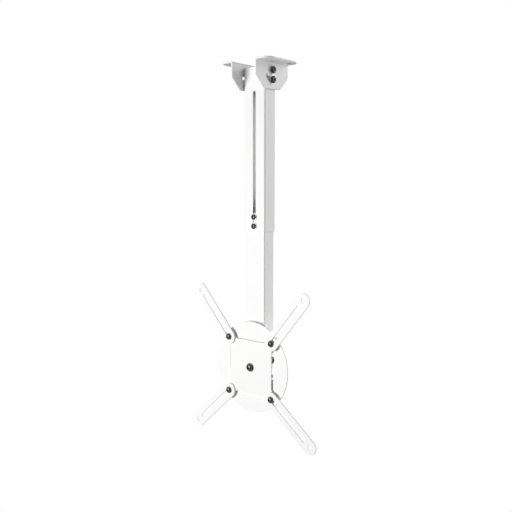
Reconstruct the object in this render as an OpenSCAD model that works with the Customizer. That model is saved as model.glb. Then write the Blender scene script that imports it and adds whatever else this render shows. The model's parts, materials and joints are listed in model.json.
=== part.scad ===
// Projector ceiling mount: two ceiling brackets, a telescopic column that tilts between them,
// a head that tilts and turns, and four arms that swing and slide on the head's plate.
// Z is up, the ceiling is the plane z = 0, and the front is the -Y side.

/* [Ceiling brackets] */
// Width of a bracket along the ceiling
bracket_w = 90; // [84:1:100]
// Drop of a bracket's ear below the ceiling
bracket_drop = 50; // [46:1:60]
// Reach of a bracket's flange, from the ear's inner face
flange_reach = 32; // [28:1:40]
// Thickness of the bracket's sheet
bracket_t = 3; // [2.5:0.1:4]
// Inside radius of the bracket's bend
bracket_bend_r = 2; // [1:0.5:3]
// Side of the diagonal cut on an ear's lower corners
ear_cut = 22; // [12:1:24]
// Radius of a flange's outer corners
flange_corner_r = 15; // [2:1:15]
// Diameter of a ceiling screw's hole
ceiling_hole_d = 8.5; // [5:0.1:9]
// Distance between ceiling screws across the column
ceiling_hole_x = 88; // [84:1:94]
// Distance between ceiling screws along a flange
ceiling_hole_y = 60; // [50:1:66]

/* [Column tilt] */
// Depth of the column's pivot below the ceiling
pivot_drop = 16.5; // [16.5:0.1:18]
// Distance from the pivot down to the lock bolt
lock_reach = 17.5; // [17.2:0.1:20]
// Width of the arc slot that the lock bolt moves in
lock_slot_w = 8.6; // [8.3:0.1:9.2]
// Largest tilt of the column towards the front
tilt_max = 45; // [10:1:45]
// Extra angle of the arc slot past each end of the tilt
slot_over = 3; // [1:0.5:4]
// Thickness of a spacer between an ear and the column
ear_spacer_t = 2; // [1:0.1:4]
// Diameter of a spacer on a large bolt
spacer_d = 16; // [12:0.5:16.8]

/* [Outer tube] */
// Width of the outer tube
tube_w = 50; // [44:1:60]
// Depth of the outer tube
tube_d = 31; // [28:1:31]
// Wall of the outer tube
tube_wall = 1.2; // [1:0.1:2]
// Outside radius of the outer tube's corners
tube_corner_r = 2.5; // [2.1:0.1:4]
// Length of the outer tube
outer_len = 300; // [260:1:340]
// Height of the outer tube's top above the pivot
tube_above_pivot = 7; // [5:0.1:7]
// Width of the clamp slot in the front wall
clamp_slot_w = 6.6; // [6.4:0.1:8]
// Distance from the tube's top to the clamp slot
slot_from_top = 43; // [40:1:80]
// Distance from the tube's bottom to the clamp slot
slot_from_bottom = 6; // [4:0.5:20]
// Width of the cable opening in the back wall
cable_opening_w = 34; // [20:1:36]
// Distance from each end of the tube to the cable opening
cable_opening_end = 50; // [46:1:80]

/* [Inner tube] */
// Gap between the outer tube and the inner tube, on each side
tube_gap = 0.5; // [0.4:0.1:1.2]
// Wall of the inner tube
inner_wall = 1.5; // [1:0.1:2]
// Outside radius of the inner tube's corners
inner_corner_r = 2.3; // [2.1:0.1:4]
// Distance from the inner tube's top down to the head's pivot
inner_reach = 275; // [240:1:300]
// Depth of the inner tube's end below the head's pivot
inner_below_pivot = 12; // [9:0.5:12.5]
// Diagonal cut on the corners of the inner tube's end
inner_end_cut = 7; // [5:0.5:9]
// Distance between the two clamp screws
clamp_pitch = 17; // [14:1:24]
// Distance from the inner tube's top down to the first clamp screw
clamp_from_top = 7.5; // [7:0.5:12]
// Space left below the second clamp screw in its slot
clamp_rest_gap = 0.7; // [0.2:0.1:2]
// Height of the glide on the inner tube's top
glide_h = 10; // [6:0.5:14]
// Depth of the glide's plug in the inner tube
glide_plug_h = 8; // [4:0.5:12]
// Width of the cable way through the glide
glide_way_w = 24; // [10:1:30]
// Depth of the cable way through the glide
glide_way_d = 8; // [5:0.5:9]
// Wall of the liner in the outer tube's mouth
liner_t = 0.4; // [0.3:0.1:0.4]
// Height of the liner
liner_h = 25; // [10:1:40]
// Width of the nut plate behind the clamp screws
nut_plate_w = 30; // [16:1:36]
// Thickness of the nut plate
nut_plate_t = 4; // [3:0.1:5]
// Length of the nut plate past each clamp screw
nut_plate_end = 6.5; // [5:0.5:7]

/* [Tilting disc] */
// Diameter of the disc
disc_d = 171; // [150:1:200]
// Thickness of the disc's sheet
disc_t = 2.5; // [2:0.1:3]
// Distance from the head's pivot to the disc's back face
head_standoff = 20.4; // [20:0.1:24]
// Height of the head's pivot above the disc's centre
pivot_above_centre = 13.5; // [12:0.5:16]
// Height of a cheek that holds the head's pivot bolt
cheek_h = 39.5; // [30:0.5:44]
// Reach of a cheek past the head's pivot, which also rounds its corners
cheek_end = 7.5; // [7:0.1:10]
// Inside radius of a cheek's bend
cheek_bend_r = 2.5; // [1.5:0.1:3]
// Gap between a cheek and the side of the outer tube
cheek_gap = 0.4; // [0.3:0.1:1.5]
// Radius of the corners of a cheek's window
window_corner_r = 3; // [1:0.5:6]
// Gap between a cheek and its window's ends
window_relief = 0.6; // [0.3:0.1:1.5]
// Diameter of the small hole below each window
index_hole_d = 4.5; // [3:0.1:6]
// Distance of the small holes from the disc's middle
index_hole_x = 51; // [40:1:60]
// Depth of the small holes below the disc's centre
index_hole_drop = 14; // [13:0.5:24]
// Thickness of the friction washer between the disc and the plate
friction_t = 1.4; // [1.2:0.1:3]
// Diameter of the friction washer
friction_d = 44; // [24:1:45]

/* [Plate] */
// Width and height of the plate between its lobes
plate_w = 101; // [94:1:104]
// Thickness of the plate
plate_t = 2.5; // [2:0.1:4]
// Distance between arm screws, both ways
arm_pitch = 104; // [98:1:108]
// Radius of the lobe round each arm screw
lobe_r = 12.5; // [11:0.5:14]
// Radius that blends a lobe into the plate's sides
lobe_blend_r = 8; // [4:0.5:10]
// Diameter of the press nut that holds an arm screw
press_nut_d = 9; // [8:0.1:11]
// Diameter of the press nut's rim
press_rim_d = 12; // [11.5:0.1:15]
// Thickness of the press nut's rim
press_rim_t = 1; // [0.6:0.1:1.1]

/* [Arms] */
// Width of an arm
arm_w = 28; // [22:1:30]
// Thickness of an arm
arm_t = 2.5; // [2:0.1:4]
// Distance from an arm's screw to its end hole, pulled out
arm_reach = 112; // [90:1:140]
// Distance from an arm's end hole to the middle of its slot's end
slot_to_hole = 16; // [12:0.5:24]
// Width of an arm's slot
arm_slot_w = 7; // [6.4:0.1:8]
// Diameter of an arm's end hole
arm_hole_d = 8; // [5:0.1:9]
// Angle of the upper left arm
upper_left_angle = 48; // [40:1:52]
// Angle of the upper right arm
upper_right_angle = 50; // [40:1:52]
// Angle of the lower left arm
lower_left_angle = 42; // [38:1:50]
// Angle of the lower right arm
lower_right_angle = 38; // [38:1:50]

/* [Fasteners] */
// Diameter of the large bolts
large_d = 8; // [7:0.1:8]
// Diameter of a large bolt's head
large_head_d = 14; // [12:0.5:15]
// Height of a large bolt's head
large_head_h = 5; // [4:0.1:8]
// Width of the hexagon key for the large bolts
large_key_w = 5; // [4:0.1:6]
// Diameter of the washers on the large bolts
large_washer_d = 16; // [14:0.5:17]
// Thickness of the washers on the large bolts
large_washer_t = 1.6; // [1:0.1:2]
// Width across the flats of a large nut
large_nut_w = 13; // [11:0.5:14]
// Height of a lock nut on a long bolt
lock_nut_h = 8; // [6:0.5:9]
// Height of the thin nut on the centre screw
thin_nut_h = 4; // [3:0.1:4]
// Length of a large bolt's end past its nut
large_end = 1; // [0.5:0.1:2]
// Diameter of the small screws
small_d = 6; // [5:0.1:6]
// Diameter of a small screw's head
small_head_d = 11; // [9:0.5:12]
// Height of a small screw's head
small_head_h = 4; // [3:0.1:6]
// Width of the hexagon key for the small screws
small_key_w = 4; // [3:0.1:4.5]
// Diameter of the washers on the small screws
small_washer_d = 12.5; // [11:0.5:14]
// Thickness of the washers on the small screws
small_washer_t = 1; // [0.8:0.1:1.6]

/* [Fits] */
// Radial clearance of a bolt or screw that something turns on
turn_fit = 0.06; // [0.02:0.01:0.09]
// Radial clearance of a bolt or screw in a hole that it clamps
clamp_fit = 0.25; // [0.1:0.05:0.5]
// Gap between flat faces that move on each other
face_gap = 0.1; // [0.05:0.01:0.15]

/* [Hidden] */
$fn = 96;
// Overrun of every cut past the faces that it opens
overrun = 1;
// Straight side of a round head, as a share of its height
head_rim_share = 0.35;
// Depth of a key socket, as a share of the head's height
socket_share = 0.6;
// Width of the plain collar on a lock nut, as a share of the nut's width
collar_share = 0.88;
// Height of the hexagon of a lock nut, as a share of the nut's height
hexagon_share = 0.72;
// Radius that trims a nut's corners, as a share of its half width
nut_trim_share = 1.11;
// Place of the neutral line in a bend, as a share of the sheet's thickness
neutral_share = 0.45;

// Half sizes and places across the column
outer_half_w = tube_w / 2;
outer_half_d = tube_d / 2;
hollow_w = tube_w - 2 * tube_wall;
hollow_d = tube_d - 2 * tube_wall;
hollow_r = tube_corner_r - tube_wall;
inner_w = hollow_w - 2 * tube_gap;
inner_d = hollow_d - 2 * tube_gap;
inner_hollow_w = inner_w - 2 * inner_wall;
inner_hollow_d = inner_d - 2 * inner_wall;
ear_inner_x = outer_half_w + ear_spacer_t;
ear_outer_x = ear_inner_x + bracket_t;
flange_end_x = ear_inner_x + flange_reach;

// Heights, all below the ceiling
pivot_z = -pivot_drop;
lock_z = pivot_z - lock_reach;
outer_top_z = pivot_z + tube_above_pivot;
outer_bottom_z = outer_top_z - outer_len;
clamp_slot_top_z = outer_top_z - slot_from_top;
clamp_slot_bottom_z = outer_bottom_z + slot_from_bottom;
clamp_low_z = clamp_slot_bottom_z + clamp_slot_w / 2 + clamp_rest_gap;
clamp_high_z = clamp_low_z + clamp_pitch;
inner_top_z = clamp_high_z + clamp_from_top;
head_z = inner_top_z - inner_reach;
disc_z = head_z - pivot_above_centre;

// Layers of the head, from the disc's back face to the arms' front face
disc_back_y = -head_standoff;
disc_front_y = disc_back_y - disc_t;
plate_back_y = disc_front_y - friction_t - face_gap;
plate_front_y = plate_back_y - plate_t;
arm_back_y = plate_front_y - face_gap;
arm_front_y = arm_back_y - arm_t;

// Cheeks of the disc and the windows that they are bent out of
cheek_inner_x = outer_half_w + cheek_gap;
cheek_outer_x = cheek_inner_x + disc_t;
bend_start_x = cheek_inner_x - cheek_bend_r;
bend_centre_y = disc_back_y + cheek_bend_r;
cheek_leg = cheek_end - bend_centre_y;
bend_length = (cheek_bend_r + neutral_share * disc_t) * PI / 2;
window_end_x = bend_start_x + bend_length + cheek_leg + window_relief;

// Places of the arm screws and the direction of each arm
arm_half = arm_pitch / 2;
arm_slot_len = arm_reach - slot_to_hole;

// Shapes that several pieces share

// Extrudes an outline drawn across Y and Z along X, centred on x = 0
module along_x(length) {
    rotate([90, 0, 90])
        linear_extrude(height = length, center = true)
            children();
}

// Extrudes an outline drawn across X and Z from the plane y = 0 towards the front
module towards_front(thickness) {
    rotate([90, 0, 0])
        linear_extrude(height = thickness)
            children();
}

// Rectangle with round corners, centred
module round_rectangle(width, depth, corner_r) {
    square([width - 2 * corner_r, depth], center = true);
    square([width, depth - 2 * corner_r], center = true);
    for (side_x = [-1, 1], side_y = [-1, 1])
        translate([side_x * (width / 2 - corner_r), side_y * (depth / 2 - corner_r)])
            circle(r = corner_r);
}

// Straight slot from the origin along +X, with round ends
module straight_slot(length, width) {
    translate([0, -width / 2])
        square([length, width]);
    circle(d = width);
    translate([length, 0])
        circle(d = width);
}

// Pan head with a hexagon socket and a plain shank, seated on z = 0 and pointing down
module pan_screw(shank_d, shank_len, head_d, head_h, key_w) {
    rim_h = head_h * head_rim_share;
    dome_h = head_h - rim_h;
    dome_r = (pow(head_d / 2, 2) + pow(dome_h, 2)) / (2 * dome_h);
    difference() {
        union() {
            intersection() {
                cylinder(d = head_d, h = head_h);
                translate([0, 0, head_h - dome_r])
                    sphere(r = dome_r);
            }
            translate([0, 0, -shank_len])
                cylinder(d = shank_d, h = shank_len + rim_h);
        }
        translate([0, 0, head_h * (1 - socket_share)])
            cylinder(d = key_w / cos(30), h = head_h, $fn = 6);
    }
}

// Flat washer from z = 0 upwards
module washer(outer_d, hole_d, thickness) {
    difference() {
        cylinder(d = outer_d, h = thickness);
        translate([0, 0, -overrun])
            cylinder(d = hole_d, h = thickness + 2 * overrun);
    }
}

// Hexagon with its corners trimmed round, from z = 0 upwards
module trimmed_hexagon(width, height) {
    trim_r = width / 2 * nut_trim_share;
    intersection() {
        cylinder(d = width / cos(30), h = height, $fn = 6);
        translate([0, 0, height / 2])
            sphere(r = sqrt(pow(trim_r, 2) + pow(height / 2, 2)) - (trim_r - width / 2));
    }
}

// Plain nut from z = 0 upwards
module thin_nut(width, hole_d, height) {
    difference() {
        trimmed_hexagon(width, height);
        translate([0, 0, -overrun])
            cylinder(d = hole_d, h = height + 2 * overrun);
    }
}

// Lock nut with a round collar, from z = 0 upwards
module lock_nut_shape(width, hole_d, height) {
    difference() {
        union() {
            trimmed_hexagon(width, height * hexagon_share);
            cylinder(d = width * collar_share, h = height);
        }
        translate([0, 0, -overrun])
            cylinder(d = hole_d, h = height + 2 * overrun);
    }
}

// Turns a fastener drawn along +Z so that its head points to +X, at a height on the column
module on_cross_bolt(x, height_z) {
    translate([x, 0, height_z])
        rotate([0, 90, 0])
            children();
}

// Turns a fastener drawn along +Z so that its head points to the front
module on_front(x, y, height_z) {
    translate([x, y, height_z])
        rotate([90, 0, 0])
            children();
}

// A long bolt through both sides at one height, with its head on the right
module cross_bolt(seat_x, height_z) {
    shank_len = 2 * seat_x + lock_nut_h + large_end;
    on_cross_bolt(seat_x, height_z)
        pan_screw(large_d, shank_len, large_head_d, large_head_h, large_key_w);
}

// A washer under the head and one under the nut of a long bolt
module cross_washers(face_x, height_z) {
    for (side = [0, 1])
        mirror([side, 0, 0])
            on_cross_bolt(face_x, height_z)
                washer(large_washer_d, large_d + 2 * clamp_fit, large_washer_t);
}

// The lock nut of a long bolt, on the left
module cross_nut(seat_x, height_z) {
    mirror([1, 0, 0])
        on_cross_bolt(seat_x, height_z)
            lock_nut_shape(large_nut_w, large_d, lock_nut_h);
}

// A spacer on each side of a tube, from one face outwards
module cross_spacers(face_x, thickness, hole_d, height_z) {
    for (side = [0, 1])
        mirror([side, 0, 0])
            on_cross_bolt(face_x, height_z)
                washer(spacer_d, hole_d, thickness);
}

// Ceiling brackets

// Cross-section of the right bracket, across X and Z
module bracket_section() {
    outer_bend_r = bracket_bend_r + bracket_t;
    bend_x = ear_inner_x + outer_bend_r;
    translate([ear_inner_x, -bracket_drop])
        square([bracket_t, bracket_drop - outer_bend_r]);
    translate([bend_x, -bracket_t])
        square([flange_end_x - bend_x, bracket_t]);
    intersection() {
        translate([bend_x, -outer_bend_r])
            difference() {
                circle(r = outer_bend_r);
                circle(r = bracket_bend_r);
            }
        translate([ear_inner_x, -outer_bend_r])
            square(outer_bend_r);
    }
}

// Arc slot of an ear, across Y and Z, from straight below the pivot towards the front
module lock_slot_outline() {
    start = 270 + slot_over;
    end = 270 - tilt_max - slot_over;
    middle = (start + end) / 2;
    reach = lock_reach + lock_slot_w;
    translate([0, pivot_z]) {
        intersection() {
            difference() {
                circle(r = lock_reach + lock_slot_w / 2);
                circle(r = lock_reach - lock_slot_w / 2);
            }
            polygon([[0, 0], reach * [cos(start), sin(start)], 2 * reach * [cos(middle), sin(middle)],
                reach * [cos(end), sin(end)]]);
        }
        for (angle = [start, end])
            translate(lock_reach * [cos(angle), sin(angle)])
                circle(d = lock_slot_w);
    }
}

// Outline of an ear's cut corners and holes, across Y and Z
module ear_cuts_outline() {
    for (side = [-1, 1])
        polygon([[side * (bracket_w / 2 - ear_cut), -bracket_drop],
            [side * bracket_w / 2, ear_cut - bracket_drop],
            [side * (bracket_w / 2 + overrun), ear_cut - bracket_drop],
            [side * (bracket_w / 2 + overrun), -bracket_drop - overrun],
            [side * (bracket_w / 2 - ear_cut), -bracket_drop - overrun]]);
    translate([0, pivot_z])
        circle(d = large_d + 2 * clamp_fit);
    lock_slot_outline();
}

// What is cut away to round a flange's outer corners
module flange_corner_cut() {
    corner_x = flange_end_x - flange_corner_r;
    corner_y = bracket_w / 2 - flange_corner_r;
    for (side = [-1, 1])
        translate([corner_x, side * corner_y, -bracket_t - overrun])
            difference() {
                translate([0, side < 0 ? -flange_corner_r - overrun : 0, 0])
                    cube([flange_corner_r + overrun, flange_corner_r + overrun, bracket_t + 2 * overrun]);
                cylinder(r = flange_corner_r, h = bracket_t + 2 * overrun);
            }
}

module right_bracket_shape() {
    difference() {
        translate([0, bracket_w / 2, 0])
            towards_front(bracket_w)
                bracket_section();
        translate([ear_inner_x, 0, 0])
            along_x(2 * (bracket_t + overrun))
                ear_cuts_outline();
        flange_corner_cut();
        for (side = [-1, 1])
            translate([ceiling_hole_x / 2, side * ceiling_hole_y / 2, -bracket_t - overrun])
                cylinder(d = ceiling_hole_d, h = bracket_t + 2 * overrun);
    }
}

module ceiling_bracket_right() {
    color("whitesmoke")
        right_bracket_shape();
}

module ceiling_bracket_left() {
    color("whitesmoke")
        mirror([1, 0, 0])
            right_bracket_shape();
}

module pivot_bolt() {
    color("dimgray")
        cross_bolt(ear_outer_x + large_washer_t, pivot_z);
}

module pivot_washers() {
    color("silver")
        cross_washers(ear_outer_x, pivot_z);
}

module pivot_nut() {
    color("silver")
        cross_nut(ear_outer_x + large_washer_t, pivot_z);
}

module pivot_spacers() {
    color("gainsboro")
        cross_spacers(outer_half_w + face_gap, ear_spacer_t - face_gap, large_d + 2 * clamp_fit, pivot_z);
}

// Outer column

module outer_tube() {
    slot_run = clamp_slot_top_z - clamp_slot_bottom_z - clamp_slot_w;
    opening_run = outer_len - 2 * cable_opening_end - cable_opening_w;
    opening_start_z = outer_bottom_z + cable_opening_end + cable_opening_w / 2;
    color("whitesmoke")
        difference() {
            translate([0, 0, outer_bottom_z])
                linear_extrude(height = outer_len)
                    difference() {
                        round_rectangle(tube_w, tube_d, tube_corner_r);
                        round_rectangle(hollow_w, hollow_d, hollow_r);
                    }
            translate([0, -outer_half_d + tube_wall + overrun, clamp_slot_bottom_z + clamp_slot_w / 2])
                towards_front(tube_wall + 2 * overrun)
                    rotate(90)
                        straight_slot(slot_run, clamp_slot_w);
            translate([0, outer_half_d + overrun, opening_start_z])
                towards_front(tube_wall + 2 * overrun)
                    rotate(90)
                        straight_slot(opening_run, cable_opening_w);
            along_x(tube_w + 2 * overrun)
                translate([0, pivot_z])
                    circle(d = large_d + 2 * turn_fit);
            along_x(tube_w + 2 * overrun)
                translate([0, lock_z])
                    circle(d = large_d + 2 * clamp_fit);
        }
}

// Thin sleeve inside the outer tube's mouth, open at the front where the clamp screws pass
module tube_liner() {
    color("dimgray")
        translate([0, 0, outer_bottom_z])
            linear_extrude(height = liner_h)
                difference() {
                    round_rectangle(hollow_w, hollow_d, hollow_r);
                    round_rectangle(hollow_w - 2 * liner_t, hollow_d - 2 * liner_t, hollow_r - liner_t);
                    translate([-hollow_w / 2, -hollow_d / 2 - overrun])
                        square([hollow_w, liner_t + overrun]);
                }
}

module lock_bolt() {
    color("dimgray")
        cross_bolt(ear_outer_x + face_gap + large_washer_t, lock_z);
}

module lock_washers() {
    color("silver")
        cross_washers(ear_outer_x + face_gap, lock_z);
}

module lock_nut() {
    color("silver")
        cross_nut(ear_outer_x + face_gap + large_washer_t, lock_z);
}

module lock_spacers() {
    color("gainsboro")
        cross_spacers(outer_half_w, ear_spacer_t - face_gap, large_d + 2 * clamp_fit, lock_z);
}

// Inner column

// Outline of the inner tube seen from the side, across Y and Z, with its end's corners cut
module inner_side_outline() {
    end_z = head_z - inner_below_pivot;
    half = inner_d / 2;
    polygon([[-half - overrun, inner_top_z + overrun], [half + overrun, inner_top_z + overrun],
        [half + overrun, end_z + inner_end_cut + overrun], [half - inner_end_cut, end_z],
        [inner_end_cut - half, end_z], [-half - overrun, end_z + inner_end_cut + overrun]]);
}

module inner_tube() {
    color("whitesmoke")
        difference() {
            intersection() {
                translate([0, 0, head_z - inner_below_pivot])
                    linear_extrude(height = inner_reach + inner_below_pivot)
                        difference() {
                            round_rectangle(inner_w, inner_d, inner_corner_r);
                            round_rectangle(inner_hollow_w, inner_hollow_d, inner_corner_r - inner_wall);
                        }
                along_x(inner_w + 2 * overrun)
                    inner_side_outline();
            }
            along_x(inner_w + 2 * overrun)
                translate([0, head_z])
                    circle(d = large_d + 2 * turn_fit);
            for (height_z = [clamp_low_z, clamp_high_z])
                on_front(0, -inner_hollow_d / 2 + overrun, height_z)
                    cylinder(d = small_d + 2 * clamp_fit, h = inner_wall + 2 * overrun);
        }
}

// Plastic block on the inner tube's top that runs in the outer tube, with a plug and a cable way
module top_glide() {
    plug_d = inner_hollow_d / 2 + glide_way_d / 2;
    plug_y = inner_hollow_d / 2 - plug_d / 2 - face_gap;
    color("dimgray")
        translate([0, 0, inner_top_z])
            difference() {
                union() {
                    linear_extrude(height = glide_h)
                        round_rectangle(hollow_w - 2 * face_gap, hollow_d - 2 * face_gap, inner_corner_r);
                    translate([0, plug_y, -glide_plug_h])
                        linear_extrude(height = glide_plug_h + glide_h / 2)
                            square([inner_hollow_w - 2 * face_gap, plug_d], center = true);
                }
                translate([0, plug_y, -glide_plug_h - overrun])
                    linear_extrude(height = glide_plug_h + glide_h + 2 * overrun)
                        square([glide_way_w, glide_way_d], center = true);
            }
}

module clamp_screws() {
    seat_y = -outer_half_d - face_gap - small_washer_t;
    shank_len = -seat_y - inner_hollow_d / 2 + nut_plate_t + overrun;
    color("dimgray")
        for (height_z = [clamp_low_z, clamp_high_z])
            on_front(0, seat_y, height_z)
                pan_screw(small_d, shank_len, small_head_d, small_head_h, small_key_w);
}

module clamp_washers() {
    color("silver")
        for (height_z = [clamp_low_z, clamp_high_z])
            on_front(0, -outer_half_d - face_gap, height_z)
                washer(small_washer_d, small_d + 2 * clamp_fit, small_washer_t);
}

// Strip inside the inner tube that the clamp screws thread into
module clamp_nut_plate() {
    plate_h = clamp_pitch + 2 * nut_plate_end;
    color("silver")
        translate([0, nut_plate_t - inner_hollow_d / 2, clamp_low_z - nut_plate_end])
            towards_front(nut_plate_t)
                difference() {
                    translate([-nut_plate_w / 2, 0])
                        square([nut_plate_w, plate_h]);
                    for (rise = [nut_plate_end, nut_plate_end + clamp_pitch])
                        translate([0, rise])
                            circle(d = small_d);
                }
}

module head_spacers() {
    color("gainsboro")
        cross_spacers(inner_w / 2, cheek_inner_x - inner_w / 2 - face_gap, large_d + 2 * clamp_fit, head_z);
}

// Tilting disc and its fasteners

// Opening in the disc that the right cheek leaves, across X and Z
module window_outline() {
    window_h = cheek_h + 2 * window_relief;
    straight_w = window_end_x - bend_start_x - window_corner_r;
    translate([bend_start_x, pivot_above_centre]) {
        translate([0, -window_h / 2])
            square([straight_w, window_h]);
        translate([0, window_corner_r - window_h / 2])
            square([straight_w + window_corner_r, window_h - 2 * window_corner_r]);
        for (side = [-1, 1])
            translate([straight_w, side * (window_h / 2 - window_corner_r)])
                circle(r = window_corner_r);
    }
}

// Cross-section of the right cheek and its bend, across X and Y
module cheek_section() {
    outer_bend_r = cheek_bend_r + disc_t;
    translate([cheek_inner_x, bend_centre_y])
        square([disc_t, cheek_leg]);
    intersection() {
        translate([bend_start_x, bend_centre_y])
            difference() {
                circle(r = outer_bend_r);
                circle(r = cheek_bend_r);
            }
        translate([bend_start_x - overrun, bend_centre_y - outer_bend_r])
            square([outer_bend_r + overrun, outer_bend_r]);
    }
}

// Outline of a cheek seen from the side, across Y and Z, about the head's pivot
module cheek_outline() {
    straight_h = cheek_h - 2 * cheek_end;
    translate([disc_front_y - overrun, -cheek_h / 2])
        square([overrun - disc_front_y, cheek_h]);
    translate([0, -straight_h / 2])
        square([cheek_end, straight_h]);
    for (side = [-1, 1])
        translate([0, side * straight_h / 2])
            circle(r = cheek_end);
}

module right_cheek() {
    intersection() {
        translate([0, 0, head_z - cheek_h / 2])
            linear_extrude(height = cheek_h)
                cheek_section();
        translate([cheek_inner_x, 0, head_z])
            along_x(2 * (disc_t + cheek_bend_r + overrun))
                cheek_outline();
    }
}

module tilt_disc() {
    color("whitesmoke")
        difference() {
            union() {
                translate([0, disc_back_y, disc_z])
                    towards_front(disc_t)
                        difference() {
                            circle(d = disc_d);
                            circle(d = large_d + 2 * clamp_fit);
                            for (side = [0, 1])
                                mirror([side, 0]) {
                                    window_outline();
                                    translate([index_hole_x, -index_hole_drop])
                                        circle(d = index_hole_d);
                                }
                        }
                for (side = [0, 1])
                    mirror([side, 0, 0])
                        right_cheek();
            }
            along_x(2 * (cheek_outer_x + overrun))
                translate([0, head_z])
                    circle(d = large_d + 2 * clamp_fit);
        }
}

module head_pivot_bolt() {
    color("dimgray")
        cross_bolt(cheek_outer_x + large_washer_t, head_z);
}

module head_pivot_washers() {
    color("silver")
        cross_washers(cheek_outer_x, head_z);
}

module head_pivot_nut() {
    color("silver")
        cross_nut(cheek_outer_x + large_washer_t, head_z);
}

module friction_washer() {
    color("dimgray")
        on_front(0, disc_front_y, disc_z)
            washer(friction_d, large_d + 2 * clamp_fit, friction_t);
}

module centre_screw() {
    seat_y = plate_front_y - face_gap - large_washer_t;
    shank_len = disc_back_y - seat_y + thin_nut_h + large_end;
    color("dimgray")
        on_front(0, seat_y, disc_z)
            pan_screw(large_d, shank_len, large_head_d, large_head_h, large_key_w);
}

module centre_washer() {
    color("dimgray")
        on_front(0, plate_front_y - face_gap, disc_z)
            washer(large_washer_d, large_d + 2 * clamp_fit, large_washer_t);
}

module centre_nut() {
    color("silver")
        on_front(0, disc_back_y + thin_nut_h, disc_z)
            thin_nut(large_nut_w, large_d, thin_nut_h);
}

// Plate and arms

// One side's blend between the plate's straight side and a lobe, beside the upper right arm screw
module lobe_blend() {
    side_x = plate_w / 2;
    blend_x = side_x + lobe_blend_r;
    blend_z = arm_half - sqrt(pow(lobe_r + lobe_blend_r, 2) - pow(blend_x - arm_half, 2));
    difference() {
        polygon([[side_x - overrun, blend_z], [blend_x, blend_z], [arm_half, arm_half],
            [side_x - overrun, arm_half]]);
        translate([blend_x, blend_z])
            circle(r = lobe_blend_r);
    }
}

// Outline of the plate, across X and Z about its centre
module plate_outline() {
    square(plate_w, center = true);
    for (side_x = [0, 1], side_z = [0, 1])
        mirror([side_x, 0])
            mirror([0, side_z]) {
                translate([arm_half, arm_half])
                    circle(r = lobe_r);
                lobe_blend();
                mirror([1, -1])
                    lobe_blend();
            }
}

module mounting_plate() {
    color("whitesmoke")
        translate([0, plate_back_y, disc_z])
            towards_front(plate_t)
                difference() {
                    plate_outline();
                    circle(d = large_d + 2 * turn_fit);
                    for (side_x = [-1, 1], side_z = [-1, 1])
                        translate([side_x * arm_half, side_z * arm_half])
                            circle(d = press_nut_d);
                }
}

// Nuts pressed into the plate from behind, one for each arm screw
module press_nuts() {
    color("silver")
        for (side_x = [-1, 1], side_z = [-1, 1])
            on_front(side_x * arm_half, plate_back_y, disc_z + side_z * arm_half)
                difference() {
                    union() {
                        cylinder(d = press_nut_d, h = plate_t);
                        translate([0, 0, -press_rim_t])
                            cylinder(d = press_rim_d, h = press_rim_t);
                    }
                    translate([0, 0, -press_rim_t - overrun])
                        cylinder(d = small_d + 2 * turn_fit, h = plate_t + press_rim_t + 2 * overrun);
                }
}

// Slotted arm lying along +X from its screw
module arm_outline() {
    difference() {
        straight_slot(arm_reach, arm_w);
        straight_slot(arm_slot_len, arm_slot_w);
        translate([arm_reach, 0])
            circle(d = arm_hole_d);
    }
}

// An arm at one corner of the plate, in the direction given
module arm(side_x, side_z, direction) {
    color("whitesmoke")
        translate([side_x * arm_half, arm_back_y, disc_z + side_z * arm_half])
            towards_front(arm_t)
                rotate(direction)
                    arm_outline();
}

module arm_screw(side_x, side_z) {
    seat_y = arm_front_y - face_gap - small_washer_t;
    shank_len = plate_back_y + press_rim_t - seat_y;
    color("dimgray")
        on_front(side_x * arm_half, seat_y, disc_z + side_z * arm_half)
            pan_screw(small_d, shank_len, small_head_d, small_head_h, small_key_w);
}

module arm_washer(side_x, side_z) {
    color("dimgray")
        on_front(side_x * arm_half, arm_front_y - face_gap, disc_z + side_z * arm_half)
            washer(small_washer_d, small_d + 2 * clamp_fit, small_washer_t);
}

module arm_upper_left() { arm(-1, 1, 180 - upper_left_angle); }
module arm_upper_right() { arm(1, 1, upper_right_angle); }
module arm_lower_left() { arm(-1, -1, 180 + lower_left_angle); }
module arm_lower_right() { arm(1, -1, -lower_right_angle); }

module arm_screw_upper_left() { arm_screw(-1, 1); }
module arm_screw_upper_right() { arm_screw(1, 1); }
module arm_screw_lower_left() { arm_screw(-1, -1); }
module arm_screw_lower_right() { arm_screw(1, -1); }

module arm_washer_upper_left() { arm_washer(-1, 1); }
module arm_washer_upper_right() { arm_washer(1, 1); }
module arm_washer_lower_left() { arm_washer(-1, -1); }
module arm_washer_lower_right() { arm_washer(1, -1); }

ceiling_bracket_right();
ceiling_bracket_left();
pivot_bolt();
pivot_washers();
pivot_nut();
pivot_spacers();
outer_tube();
tube_liner();
lock_bolt();
lock_washers();
lock_nut();
lock_spacers();
inner_tube();
top_glide();
clamp_screws();
clamp_washers();
clamp_nut_plate();
head_spacers();
tilt_disc();
head_pivot_bolt();
head_pivot_washers();
head_pivot_nut();
friction_washer();
centre_screw();
centre_washer();
centre_nut();
mounting_plate();
press_nuts();
arm_upper_left();
arm_upper_right();
arm_lower_left();
arm_lower_right();
arm_screw_upper_left();
arm_screw_upper_right();
arm_screw_lower_left();
arm_screw_lower_right();
arm_washer_upper_left();
arm_washer_upper_right();
arm_washer_lower_left();
arm_washer_lower_right();
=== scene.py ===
# %% [markdown]
# A projector ceiling mount, in white powder-coated steel. Two brackets hold a telescopic column, the
# column holds a tilting disc, and a plate with four slotted arms turns in front of the disc.
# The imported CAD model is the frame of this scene: it says how large each piece is, where it sits and
# which body it moves with. Blender adds what a machine drawing leaves out: rounded sheet edges,
# threads, keyed screw heads, and paint and plating that catch the light as the real ones do.

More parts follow.
